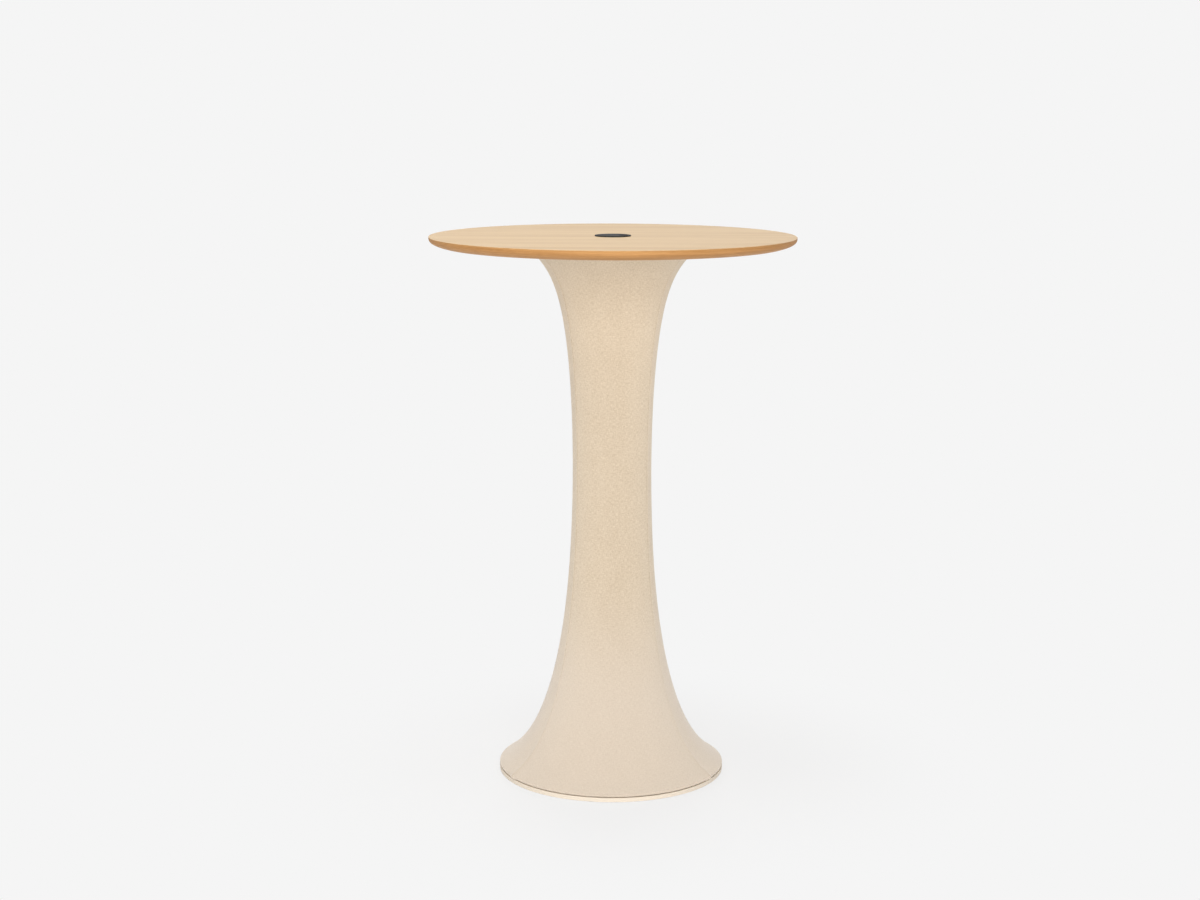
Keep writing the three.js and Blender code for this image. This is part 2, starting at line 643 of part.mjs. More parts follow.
function makeFasteners() {
  const plateSeat = TOP_UNDERSIDE - GLUE_GAP - TOP_PLATE_THICKNESS;
  const ringSeat = TOP_UNDERSIDE - 2 * GAP - GLUE_GAP - FABRIC - UPPER_RING_THICKNESS;
  const insertLow = TOP_UNDERSIDE + INSERT_DEPTH;
  const insert = flatRing(
    TOP_PLATE_SCREW.shank + GAP, INSERT_RADIUS, insertLow, insertLow + INSERT_LENGTH, FASTENER_SIDES,
  );
  const plateScrew = upwardScrew(TOP_PLATE_SCREW, plateSeat);
  const ringScrew = upwardScrew(UPPER_RING_SCREW, ringSeat);
  return assembly(
    ...repeated("flange_bolt", countersunkScrew(FLANGE_BOLT), ZINC_STEEL, FLANGE_BOLT_PLACES),
    ...repeated("lower_ring_screw", countersunkScrew(LOWER_RING_SCREW), ZINC_STEEL, LOWER_RING_PLACES),
    ...repeated("upper_ring_screw", ringScrew, ZINC_STEEL, UPPER_RING_PLACES),
    ...repeated("top_plate_screw", plateScrew, ZINC_STEEL, TOP_PLATE_PLACES),
    ...repeated("threaded_insert", insert, ZINC_STEEL, TOP_PLATE_PLACES),
  );
}

const table = assembly(
  makeTop(),
  makeGrommet(),
  makeColumn(),
  makeBase(),
  makeFeet(),
  makeSleeve(),
  makeFasteners(),
);

export default table;
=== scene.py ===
"""Looks of a round standing meeting table, laid over its CAD frame. Metres, +Z up, front towards -Y."""

import math

import bmesh
import bpy
import numpy as np
from mathutils import Matrix, Vector


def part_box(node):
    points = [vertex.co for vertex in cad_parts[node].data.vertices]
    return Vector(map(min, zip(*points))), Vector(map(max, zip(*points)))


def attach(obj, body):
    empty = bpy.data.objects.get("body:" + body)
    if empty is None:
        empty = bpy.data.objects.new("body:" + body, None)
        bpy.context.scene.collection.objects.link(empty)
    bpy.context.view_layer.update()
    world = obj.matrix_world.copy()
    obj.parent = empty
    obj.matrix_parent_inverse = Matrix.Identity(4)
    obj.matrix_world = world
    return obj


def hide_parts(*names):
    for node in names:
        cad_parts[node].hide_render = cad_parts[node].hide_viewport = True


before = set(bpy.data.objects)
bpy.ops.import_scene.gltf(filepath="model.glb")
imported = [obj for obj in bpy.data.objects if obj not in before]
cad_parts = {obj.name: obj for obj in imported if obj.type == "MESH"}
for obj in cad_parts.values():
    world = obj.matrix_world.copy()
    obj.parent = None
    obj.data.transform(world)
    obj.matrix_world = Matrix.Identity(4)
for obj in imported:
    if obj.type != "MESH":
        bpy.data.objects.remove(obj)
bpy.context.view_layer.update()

bl_info = {
    "name": "Standing meeting table",
    "version": (1, 0, 0),
    "blender": (4, 5, 0),
    "location": "View3D > Sidebar > Table",
    "description": "Builds the visible pieces, finishes and studio of a standing meeting table",
    "category": "Object",
}

MM = 0.001

# Heights and radii that the frame gives
VENEER_LOW, VENEER_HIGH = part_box("face_veneer")
LIPPING_LOW, LIPPING_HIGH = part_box("edge_lipping")
PLATE_LOW, PLATE_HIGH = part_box("base_plate")
FLANGE_LOW, FLANGE_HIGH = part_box("grommet_sleeve")
COVER_LOW, COVER_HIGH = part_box("grommet_cover")
TOP_RADIUS = VENEER_HIGH.x
TOP_HEIGHT = VENEER_HIGH.z
UNDERSIDE = LIPPING_LOW.z

# Hole for the grommet in the top, and the inner edge of the lipping
GROMMET_HOLE = 31 * MM
LIPPING_INNER = 315 * MM

# Edge of the top: upright at the arris, turning under with the power of the depth
EDGE_CURVE_WIDTH = 26 * MM
EDGE_CURVE_POWER = 3.3
EDGE_CURVE_ROWS = 28

# Sleeve: the cloth, the hem's roll, the roll at the top, the turned-in ends, and the short stretches
# between the rolls and the trumpet curve
FABRIC = 1.3 * MM
HEM_ROLL = 3.6 * MM
HEM_LIFT = 1.2 * MM
HEM_HEIGHT = PLATE_HIGH.z + HEM_LIFT + HEM_ROLL
HEM_CENTRE = PLATE_HIGH.x - HEM_ROLL
HEM_TURN_IN = 12.4 * MM
HEM_BLEND = 1.6 * HEM_ROLL
TOP_ROLL = 2 * MM
TOP_GAP = 0.4 * MM
TOP_TURN_IN = 20 * MM
TOP_BLEND = 2 * MM
SLEEVE_TOP = UNDERSIDE - TOP_GAP

# Trumpet curve: a core radius, the flares that fade from the hem and from the top as (reach, fade), and
# half the step over which its slope is measured
SLEEVE_CORE = 65.3 * MM
HEM_FLARES = ((33.9 * MM, 32.9 * MM), (123.4 * MM, 192.7 * MM))
TOP_FLARES = ((40.4 * MM, 38.3 * MM), (61.8 * MM, 171.9 * MM))
SLOPE_STEP = 0.5 * MM

# The three sewn panels: the directions of their middles, and half the angle that each one spans
PANEL_MIDDLES = (-math.pi / 2, math.pi / 6, 5 * math.pi / 6)
PANEL_HALF = math.pi / 3

# Columns of the turned pieces, of a round hole and of one half panel, and rows of the sleeve's parts
TURNED_COLUMNS = 256
SMALL_COLUMNS = 128
HOLE_COLUMNS = 24
HALF_PANEL_COLUMNS = 44
SLEEVE_ROWS = 150
HEM_ROLL_ROWS = 14
TOP_ROLL_ROWS = 9
INNER_FACE_STRIDE = 3

# Places of the rows on the turned-in ends, as shares of the length that is turned in
HEM_END_SHARES = np.array([1.0, 0.6, 0.35, 0.15])
TOP_END_SHARES = np.array([0.15, 0.5, 1.0])

# Distances from a seam at which its relief has columns
SEAM_COLUMNS = np.array([0, 0.5, 1.0, 1.6, 2.4, 3.6, 5.4, 8.0, 12.0]) * MM

# Relief of a seam: a groove, a shoulder beside it, a ridge that fades up from the hem, and its upper end
GROOVE_WIDTH = 0.9 * MM
SHOULDER_HEIGHT = 0.45 * MM
SHOULDER_PLACE = 2.6 * MM
SHOULDER_WIDTH = 2.2 * MM
RIDGE_LEAST = 0.15 * MM
RIDGE_WIDTH = 9 * MM
RIDGE_FADE = 70 * MM
SEAM_END = SLEEVE_TOP - 3 * MM

# Where a seam's thick allowance closes the gap under the hem: half its width, how far in under the hem
# it reaches, and the gap that it leaves
SEAM_HEM_WIDTH = 12 * MM
SEAM_HEM_REACH = 4 * MM
SEAM_HEM_GAP = 0.1 * MM

# Base plate, in millimetres: the steps of each kind of hole as (radius, height), and the holes as
# (circle, count, first angle, steps)
FOOT_HOLE = ((15.2, -1), (15.2, 3.3), (4.3, 3.3), (4.3, 11))
BOLT_HOLE = ((8.9, 0), (4.3, 4.6), (4.3, 11))
SCREW_HOLE = ((5.3, 0), (2.3, 3), (2.3, 11))
PLATE_HOLES = (
    (165, 4, math.pi / 4, FOOT_HOLE),
    (57, 4, math.pi / 4, BOLT_HOLE),
    (196, 6, 0.0, SCREW_HOLE),
)

# Cable slot through the back rim of the base plate; its cutter runs out to this share of the radius
CABLE_SLOT_RADIUS = 10 * MM
CABLE_SLOT_INNER = 150 * MM
CABLE_SLOT_TURN = math.pi / 2
CABLE_SLOT_OUTER_SHARE = 1.2

# Grommet ring: bore, recess and ledge, its clearance in the top, its flange and its rounded edges
BORE_RADIUS = 27.6 * MM
RECESS_RADIUS = 29.2 * MM
LEDGE = TOP_HEIGHT - 2.4 * MM
RING_CLEARANCE = 0.3 * MM
FLANGE_LIFT = 0.1 * MM
FLANGE_ROUND = 0.8 * MM
RECESS_ROUND = 0.4 * MM
RECESS_ROUND_SAG = 0.05 * MM

# Grommet cover: a disc with a cable notch, and a pin whose barb snaps into the cap
COVER_UNDERSIDE = TOP_HEIGHT - 0.4 * MM
COVER_ROUND = 0.6 * MM
PIN_RADIUS = 3 * MM
BARB_RADIUS = 3.9 * MM
BARB_TAPER = 1.2 * MM
BARB_LENGTH = 2 * MM
NOTCH_RADIUS = 8 * MM
NOTCH_CENTRE = 19 * MM

# How far a cutter passes the faces that it opens
OVERCUT = 1 * MM

# Points on a rounded edge, the support beside it that keeps the flats flat, and points on a slot's end
ROUND_STEPS = 6
ROUND_SUPPORT = 0.4 * MM
SLOT_STEPS = 33

# Corners closer than this are one corner, and faces that meet at more than this angle keep a sharp edge
MERGE_DISTANCE = 1e-7
SHARP_ANGLE = math.radians(35)

# Streaks of the wood as (length, width, share of the dark colour), from broad bands to pores; the
# pores are drawn about three times as wide as they are, so that they show. Then the range of noise that
# goes from no streak to a full one, and the depth of the pores
VENEER_STREAKS = ((700 * MM, 40 * MM, 0.4), (420 * MM, 6 * MM, 0.35), (30 * MM, 1.2 * MM, 0.3))
LIPPING_STREAKS = ((300 * MM, 14 * MM, 0.35), (160 * MM, 3 * MM, 0.35), (16 * MM, 0.9 * MM, 0.3))
STREAK_RANGE = (0.36, 0.66)
PORE_DEPTH = 0.1 * MM

# Knit: flecks, drawn about twice as coarse as the yarn so that they show, soft clouds, and ribs
FLECK_LENGTH = 6 * MM
FLECK_WIDTH = 1.7 * MM
FLECK_RANGE = (0.7, 1.3)
FLECK_SHARES = (0.05, 0.8)
CLOUD_WIDTH = 30 * MM
CLOUD_LENGTH = 55 * MM
CLOUD_RANGE = (0.3, 0.7)
CLOUD_SHARE = 0.04
RIB_SPACING = 1.6 * MM
RIB_HEIGHT = 0.3 * MM

# Stitch line: the distances from the seam between which it fades, and its share of dark yarn
STITCH_FADE = (0.3 * MM, 1.4 * MM)
STITCH_SHARE = 0.2

# Painted floor bounce: a paler, cooler colour painted on the cloth towards the hem, in place of light
# thrown up by the white floor; the heights between which it fades out, and its largest share, at the hem
FLOOR_BOUNCE_HEIGHTS = (0.14, 0.42)
FLOOR_BOUNCE_SHARE = 0.5

# Chips of the core board, and one ply of the upper ring
CHIP_SIZE = 5 * MM
PLY_THICKNESS = 1.5 * MM

# A wave texture at this scale has this many waves in one unit of its vector
WAVE_SCALE = 2 * math.pi
WAVES_IN_UNIT = 20

# Camera of the photograph: focal length over image width, place, pitch and roll
FOCAL_SHARE = 2134.3 / 1200
SENSOR_WIDTH = 36.0
CAMERA_PLACE = Vector((-0.0234, -4.0685, 1.3495))
CAMERA_PITCH = math.radians(9.938)
CAMERA_ROLL = math.radians(0.1475)

# Studio: softboxes as (name, place, size, power in watts), the point that they face, and the strength
# of the soft light from all round
SOFTBOXES = (
    ("front_softbox", (0.15, -3.8, 1.6), 2.8, 122.0),
    ("back_softbox", (0.1, 3.8, 1.6), 2.8, 100.0),
    ("overhead_softbox", (-0.9, -0.4, 3.0), 2.0, 22.0),
    ("left_softbox", (-3.8, 0.6, 1.6), 2.8, 13.0),
    ("right_softbox", (3.8, 0.6, 1.6), 2.8, 13.0),
)
SOFTBOX_AIM = Vector((0, 0, 0.6))
AROUND_STRENGTH = 0.3

# Floor: its radius, the most of the table's shadow that it shows, and the distances between which the
# shadow fades out
FLOOR_RADIUS = 4.0
SHADOW_SHARE = 0.22
SHADOW_FADE = (0.25, 0.75)


def linear(hex_colour):
    """An sRGB hex colour as the linear RGBA values that shaders take."""
    channels = np.array([int(hex_colour[i:i + 2], 16) for i in (1, 3, 5)]) / 255
    decoded = np.where(channels <= 0.04045, channels / 12.92, ((channels + 0.055) / 1.055) ** 2.4)
    return (*decoded.tolist(), 1.0)


def colour_property(name, description, hex_colour):
    """A colour that the panel shows, with an sRGB hex value as its default."""
    return bpy.props.FloatVectorProperty(
        name=name, description=description, default=linear(hex_colour),
        size=4, min=0.0, max=1.0, subtype="COLOR",
    )


def length_property(name, description, default):
    """A length that the panel shows, in metres."""
    return bpy.props.FloatProperty(
        name=name, description=description, default=default, min=0.0, precision=4, unit="LENGTH",
    )


class TableSizes(bpy.types.PropertyGroup):
    """Sizes of the visible pieces."""

    top_radius: length_property("Top radius", "Radius of the veneered top", TOP_RADIUS)
    arris_round: length_property("Arris rounding", "Rounding of the top's upper edge", 0.5 * MM)
    plate_radius: length_property("Plate radius", "Radius of the base plate", PLATE_HIGH.x)
    plate_chamfer: length_property("Plate edge break", "Rounding of the plate's edges", 0.6 * MM)
    flange_radius: length_property("Grommet radius", "Radius of the grommet's flange", FLANGE_HIGH.x)
    seam_groove: length_property("Seam groove", "Depth of the sewn seams in the sleeve", 0.8 * MM)
    seam_ridge: length_property("Seam ridge", "Height of the seam allowance at the hem", 1.3 * MM)


class TableColours(bpy.types.PropertyGroup):
    """Colours of the finishes and of the studio."""

    veneer_light: colour_property("Veneer, light", "Light bands of the face veneer", "#EDCE9F")
    veneer_dark: colour_property("Veneer, dark", "Dark streaks of the face veneer", "#CFA873")
    lipping_light: colour_property("Lipping, light", "Light bands of the wooden edge", "#CB975F")
    lipping_dark: colour_property("Lipping, dark", "Dark streaks of the wooden edge", "#A4733F")
    fabric_light: colour_property("Fabric, light yarn", "Light yarn of the sleeve", "#DFD1BC")
    fabric_dark: colour_property("Fabric, dark yarn", "Dark yarn of the sleeve", "#BFAC92")
    # Painted floor bounce: a paler, cooler colour painted on the sleeve towards the hem
    fabric_floor_bounce: colour_property("Fabric, painted floor bounce", "Paler colour painted towards the hem for the floor's bounce light", "#DDD2C6")
    plate: colour_property("Base plate", "Powder coat of the base plate", "#E9DCCA")
    grommet: colour_property("Grommet", "Plastic of the grommet", "#26282A")
    floor: colour_property("Floor", "Floor of the studio", "#F2F2F2")
    backdrop: colour_property("Backdrop", "White that the camera sees behind the table", "#F5F5F5")


# Meshes

def grid_object(name, points, closed_rows):
    """An object from a (rows, columns, 3) grid whose columns close on themselves; the rows close too
    where the cross-section is a ring, and otherwise end in points on the centre line."""
    rows, columns = points.shape[:2]
    row = np.arange(rows if closed_rows else rows - 1)
    column = np.arange(columns)
    low, left = np.meshgrid(row, column, indexing="ij")
    high = (low + 1) % rows
    right = (left + 1) % columns
    corners = np.stack([
        low * columns + left, low * columns + right, high * columns + right, high * columns + left,
    ], axis=-1).reshape(-1, 4)
    mesh = bpy.data.meshes.new(name)
    mesh.from_pydata(points.reshape(-1, 3), [], corners)
    made = bpy.data.objects.new(name, mesh)
    bpy.context.scene.collection.objects.link(made)
    return made


def merge_doubles(made):
    """Joins corners that share a place, so that poles are closed."""
    work = bmesh.new()
    work.from_mesh(made.data)
    bmesh.ops.remove_doubles(work, verts=work.verts, dist=MERGE_DISTANCE)
    work.to_mesh(made.data)
    work.free()


def shade_smooth(made):
    """Smooth shading over every face."""
    made.data.polygons.foreach_set("use_smooth", np.ones(len(made.data.polygons), bool))


def shade_by_angle(made):
    """Smooth shading over faces that meet at a small angle, with sharp edges kept sharp."""
    shade_smooth(made)
    made.data.set_sharp_from_angle(angle=SHARP_ANGLE)


def turned_points(profile, columns, place=(0, 0)):
    """A profile of (radius, height) points carried round the vertical through place: a point is
    place + radius (cos a, sin a) at its height, for angle a at every column."""
    angle = np.linspace(0, 2 * math.pi, columns, endpoint=False)
    radius, height = np.asarray(profile, float).T
    x = place[0] + np.outer(radius, np.cos(angle))
    y = place[1] + np.outer(radius, np.sin(angle))
    z = np.broadcast_to(height[:, None], x.shape)
    return np.stack([x, y, z], axis=-1)


def turned(name, profile, columns, place=(0, 0)):
    """A turned piece; its profile runs up the outside, and closes on itself unless it starts on the
    centre line."""
    closed = profile[0][0] > 0
    made = grid_object(name, turned_points(profile, columns, place), closed)
    if not closed:
        merge_doubles(made)
    return made


def rounded_corner(corner, radius, start_angle, end_angle):
    """Points of a rounded outer corner: an arc of that radius inside the corner, from one direction
    to the other, with a support point before and after it that keeps the flats flat."""
    angle = np.linspace(start_angle, end_angle, ROUND_STEPS)
    toward = np.array([np.cos([start_angle, end_angle]), np.sin([start_angle, end_angle])]).T
    centre = np.asarray(corner) - radius * toward.sum(axis=0)
    arc = centre + radius * np.stack([np.cos(angle), np.sin(angle)], axis=-1)
    along = np.array([-np.sin(angle), np.cos(angle)]).T
    return [arc[0] - ROUND_SUPPORT * along[0], *arc, arc[-1] + ROUND_SUPPORT * along[-1]]


def slot_prism(name, radius, inner, outer, low, high, turn):
    """A cutter for a slot: a half circle round its inner end carried out along two straight sides,
    turned about the vertical, between two heights."""
    angle = np.linspace(math.pi / 2, 3 * math.pi / 2, SLOT_STEPS)
    x = np.concatenate([inner + radius * np.cos(angle), [outer, outer]])
    y = np.concatenate([radius * np.sin(angle), [-radius, radius]])
    turned_x = x * math.cos(turn) - y * math.sin(turn)
    turned_y = x * math.sin(turn) + y * math.cos(turn)
    outline = np.stack([turned_x, turned_y], axis=-1)
    centre = np.broadcast_to(outline[:-2].mean(axis=0), outline.shape)
    rings = [(centre, low), (outline, low), (outline, high), (centre, high)]
    points = np.stack([np.column_stack([flat, np.full(len(flat), height)]) for flat, height in rings])
    made = grid_object(name, points, False)
    merge_doubles(made)
    return made


def cut_away(made, cutters):
    """Cuts the cutters out of a piece, one after the other, and deletes them."""
    for cutter in cutters:
        boolean = made.modifiers.new("cut", "BOOLEAN")
        boolean.operation = "DIFFERENCE"
        boolean.solver = "EXACT"
        boolean.object = cutter
    shown = bpy.context.evaluated_depsgraph_get()
    result = bpy.data.meshes.new_from_object(made.evaluated_get(shown))
    made.modifiers.clear()
    made.data = result
    for cutter in cutters:
        bpy.data.objects.remove(cutter)


def finish_piece(made, body, material, slot, *nodes):
    """Gives a new piece its material, hides the CAD nodes that it stands for, and hangs it on the body
    that it moves with.
    """
    made.data.materials.clear()
    made.data.materials.append(material)
    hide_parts(*nodes)
    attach(made, body)


def paint_nodes(material, *starts):
    """Gives a material to every CAD node whose name begins with one of these words."""
    named = [node for name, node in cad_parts.items() if name.startswith(starts)]
    if not named:
        raise RuntimeError(f"no CAD node is named {starts}")
    for node in named:
        node.data.materials.clear()
        node.data.materials.append(material)


# Materials

def add_node(tree, kind, inputs=None, **settings):
    """A new shader node, with its settings made and its inputs set or linked."""
    node = tree.nodes.new("ShaderNode" + kind)
    for name, value in settings.items():
        setattr(node, name, value)
    for name, value in (inputs or {}).items():
        if isinstance(value, bpy.types.NodeSocket):
            tree.links.new(value, node.inputs[name])
        else:
            node.inputs[name].default_value = value
    return node


def new_material(name):
    """A material with an empty node tree, a Principled shader and its output."""
    made = bpy.data.materials.new(name)
    made.use_nodes = True
    tree = made.node_tree
    tree.nodes.clear()
    shader = add_node(tree, "BsdfPrincipled")
    add_node(tree, "OutputMaterial", {"Surface": shader.outputs["BSDF"]})
    return made, tree, shader


def lay_wood(tree, shader, vector, light, dark, layers):
    """Wood figure on a vector in metres whose X runs along the grain. Each layer of streaks is given
    as (length, width, share of the dark colour), from the broad bands to the pores, which are also
    sunk into the surface."""
    total = None
    for length, width, share in layers:
        scale = (1 / length, 1 / width, 1 / width)
        stretched = add_node(tree, "Mapping", {"Vector": vector, "Scale": scale})
        noise = add_node(tree, "TexNoise", {
            "Vector": stretched.outputs[0], "Scale": 1.0, "Detail": 3.0, "Roughness": 0.55,
            "Distortion": 0.2,
        })
        streaks = add_node(tree, "MapRange", {
            "Value": noise.outputs[0], "From Min": STREAK_RANGE[0], "From Max": STREAK_RANGE[1],
            "To Min": 0.0, "To Max": share,
        })
        if total is None:
            total = streaks
        else:
            both = {0: total.outputs[0], 1: streaks.outputs[0]}
            total = add_node(tree, "Math", both, operation="ADD", use_clamp=True)
    colour = add_node(tree, "Mix", {0: total.outputs[0], 6: light, 7: dark}, data_type="RGBA")
    bump = add_node(tree, "Bump", {
        "Strength": 0.1, "Distance": PORE_DEPTH, "Height": streaks.outputs[0],
    }, invert=True)
    tree.links.new(colour.outputs[2], shader.inputs["Base Color"])
    tree.links.new(bump.outputs[0], shader.inputs["Normal"])


def lacquered_oak_veneer():
    """Sliced oak under matt lacquer: pale, with long straight streaks and a soft grazing shine."""
    colours = bpy.context.scene.table_colours
    made, tree, shader = new_material("lacquered_oak_veneer")
    shader.inputs["Roughness"].default_value = 0.42
    shader.inputs["IOR"].default_value = 1.5
    place = add_node(tree, "TexCoord").outputs["Object"]
    lay_wood(tree, shader, place, colours.veneer_light, colours.veneer_dark, VENEER_STREAKS)
    return made


def oiled_oak_lipping():
    """Bent solid oak, oiled: a warmer brown with grain that follows the edge round."""
    colours = bpy.context.scene.table_colours
    made, tree, shader = new_material("oiled_oak_lipping")
    shader.inputs["Roughness"].default_value = 0.6
    shader.inputs["Specular IOR Level"].default_value = 0.3
    shader.inputs["IOR"].default_value = 1.5
    along = add_node(tree, "UVMap", uv_map="along_edge").outputs[0]
    lay_wood(tree, shader, along, colours.lipping_light, colours.lipping_dark, LIPPING_STREAKS)
    return made


def dark_yarn_share(tree, cloth):
    """Share of the dark yarn: flecks along and across the cloth, soft clouds, and a dark stitch line
    along each seam."""
    flecks = []
    for across, along in ((FLECK_LENGTH, FLECK_WIDTH), (FLECK_WIDTH, FLECK_LENGTH)):
        flecks_at = add_node(tree, "Mapping", {"Vector": cloth, "Scale": (1 / across, 1 / along, 1.0)})
        flecks.append(add_node(tree, "TexNoise", {
            "Vector": flecks_at.outputs[0], "Scale": 1.0, "Detail": 2.0, "Roughness": 0.6,
        }).outputs[0])
    crossed = add_node(tree, "Math", {0: flecks[0], 1: flecks[1]}, operation="ADD")
    flecked = add_node(tree, "MapRange", {
        "Value": crossed.outputs[0], "From Min": FLECK_RANGE[0], "From Max": FLECK_RANGE[1],
        "To Min": FLECK_SHARES[0], "To Max": FLECK_SHARES[1],
    })
    cloud_scale = (1 / CLOUD_WIDTH, 1 / CLOUD_LENGTH, 1.0)
    clouds_at = add_node(tree, "Mapping", {"Vector": cloth, "Scale": cloud_scale})
    clouds = add_node(tree, "TexNoise", {"Vector": clouds_at.outputs[0], "Scale": 1.0, "Detail": 2.0})
    clouded = add_node(tree, "MapRange", {
        "Value": clouds.outputs[0], "From Min": CLOUD_RANGE[0], "From Max": CLOUD_RANGE[1],
        "To Min": -CLOUD_SHARE, "To Max": CLOUD_SHARE,
    })
    from_seam = add_node(tree, "Attribute", attribute_name="from_seam")
    stitched = add_node(tree, "MapRange", {
        "Value": from_seam.outputs["Fac"], "From Min": STITCH_FADE[0], "From Max": STITCH_FADE[1],
        "To Min": STITCH_SHARE, "To Max": 0.0,
    })
    mottled = add_node(tree, "Math", {0: flecked.outputs[0], 1: clouded.outputs[0]}, operation="ADD")
    both = {0: mottled.outputs[0], 1: stitched.outputs[0]}
    return add_node(tree, "Math", both, operation="ADD", use_clamp=True).outputs[0]


def rib_height(tree, cloth):
    """Height of the knit: ribs along the cloth times ribs across it."""
    scale = 1 / (WAVES_IN_UNIT * RIB_SPACING)
    ribs_at = add_node(tree, "Mapping", {"Vector": cloth, "Scale": (scale, scale, 1.0)})
    wave = {"Vector": ribs_at.outputs[0], "Scale": WAVE_SCALE, "Distortion": 0.6}
    wales = add_node(tree, "TexWave", wave, bands_direction="X")
    courses = add_node(tree, "TexWave", wave, bands_direction="Y")
    both = {0: wales.outputs["Fac"], 1: courses.outputs["Fac"]}
    return add_node(tree, "Math", both, operation="MULTIPLY").outputs[0]


def melange_stretch_knit():
    """A stretch knit of light and dark beige yarns: fine ribs, short yarn flecks and a soft bloom at
    grazing angles. Towards the hem a paler, cooler colour is painted in for the white floor's bounce
    light."""
    colours = bpy.context.scene.table_colours
    made, tree, shader = new_material("melange_stretch_knit")
    shader.inputs["Roughness"].default_value = 0.9
    shader.inputs["Diffuse Roughness"].default_value = 0.6
    shader.inputs["Specular IOR Level"].default_value = 0.2
    shader.inputs["Sheen Weight"].default_value = 0.3
    shader.inputs["Sheen Roughness"].default_value = 0.5
    cloth = add_node(tree, "UVMap", uv_map="on_cloth").outputs[0]
    yarn = add_node(tree, "Mix", {
        0: dark_yarn_share(tree, cloth), 6: colours.fabric_light, 7: colours.fabric_dark,
    }, data_type="RGBA")
    place = add_node(tree, "TexCoord")
    height = add_node(tree, "SeparateXYZ", {0: place.outputs["Object"]})
    # Painted floor bounce: the cloth is painted paler and cooler towards the hem, where the white floor
    # throws light up
    painted_bounce = add_node(tree, "MapRange", {
        "Value": height.outputs["Z"], "From Min": FLOOR_BOUNCE_HEIGHTS[0], "From Max": FLOOR_BOUNCE_HEIGHTS[1],
        "To Min": FLOOR_BOUNCE_SHARE, "To Max": 0.0,
    }, interpolation_type="SMOOTHSTEP")
    colour = add_node(tree, "Mix", {
        0: painted_bounce.outputs[0], 6: yarn.outputs[2], 7: colours.fabric_floor_bounce,
    }, data_type="RGBA")
    bump = add_node(tree, "Bump", {
        "Strength": 0.35, "Distance": RIB_HEIGHT, "Height": rib_height(tree, cloth),
    })
    tree.links.new(colour.outputs[2], shader.inputs["Base Color"])
    tree.links.new(bump.outputs[0], shader.inputs["Normal"])
    return made


def grained_finish(name, colour, roughness, grain, height, metallic=0.0, specular=0.5):
    """A coloured finish with an even grain of that width and height in metres."""
    made, tree, shader = new_material(name)
    shader.inputs["Base Color"].default_value = colour
    shader.inputs["Roughness"].default_value = roughness
    shader.inputs["Metallic"].default_value = metallic
    shader.inputs["Specular IOR Level"].default_value = specular
    place = add_node(tree, "TexCoord").outputs["Object"]
    noise = add_node(tree, "TexNoise", {"Vector": place, "Scale": 1 / grain, "Detail": 1.0})
    bump = add_node(tree, "Bump", {"Strength": 0.3, "Distance": height, "Height": noise.outputs[0]})
    tree.links.new(bump.outputs[0], shader.inputs["Normal"])
    return made


def chip_board():
    """Pressed wood chips: pale brown flakes a few millimetres across, rough and dull."""
    made, tree, shader = new_material("pressed_chip_board")
    shader.inputs["Roughness"].default_value = 0.85
    place = add_node(tree, "TexCoord").outputs["Object"]
    flakes = add_node(tree, "TexVoronoi", {"Vector": place, "Scale": 1 / CHIP_SIZE})
    colour = add_node(tree, "Mix", {
        0: flakes.outputs["Color"], 6: linear("#D2B78E"), 7: linear("#B0915F"),
    }, data_type="RGBA")
    tree.links.new(colour.outputs[2], shader.inputs["Base Color"])
    return made


def birch_plywood():
    """Birch plywood: pale plies, darker and lighter by turns on its cut edge."""
    made, tree, shader = new_material("birch_plywood")
    shader.inputs["Roughness"].default_value = 0.7
    place = add_node(tree, "TexCoord").outputs["Object"]
    scale = (0, 0, 1 / (WAVES_IN_UNIT * 2 * PLY_THICKNESS))
    plies_at = add_node(tree, "Mapping", {"Vector": place, "Scale": scale})
    plies = add_node(tree, "TexWave", {
        "Vector": plies_at.outputs[0], "Scale": WAVE_SCALE,
    }, bands_direction="Z")
    colour = add_node(tree, "Mix", {
        0: plies.outputs["Fac"], 6: linear("#E2CDA4"), 7: linear("#C4A271"),
    }, data_type="RGBA")
    tree.links.new(colour.outputs[2], shader.inputs["Base Color"])
    return made


# Sleeve

def sleeve_radius(height):
    """Radius of the sleeve's outer face: a core, with two flares that fade upwards from the hem and
    two that fade downwards from the top, each as reach times exp(-distance / fade)."""
    rise = height - HEM_HEIGHT
    drop = UNDERSIDE - height
    flares = [reach * np.exp(-rise / fade) for reach, fade in HEM_FLARES]
    flares += [reach * np.exp(-drop / fade) for reach, fade in TOP_FLARES]
    return SLEEVE_CORE + sum(flares)


def sleeve_face_angle(height):
    """Direction that the sleeve's outer face looks in, as an angle above the horizontal."""
    widening = sleeve_radius(height + SLOPE_STEP) - sleeve_radius(height - SLOPE_STEP)
    return np.arctan2(-widening / (2 * SLOPE_STEP), 1.0)


def roll_path(centre, height, roll, start, end, rows):
    """An arc of the sleeve's section, as rows of (radius, height, face angle)."""
    angle = np.linspace(start, end, rows)
    return np.stack([centre + roll * np.cos(angle), height + roll * np.sin(angle), angle], axis=-1)


def flat_path(radius, height, angle):
    """A level stretch of the sleeve's section, as rows of (radius, height, face angle)."""
    return np.stack([radius, np.full(len(radius), height), np.full(len(radius), angle)], axis=-1)


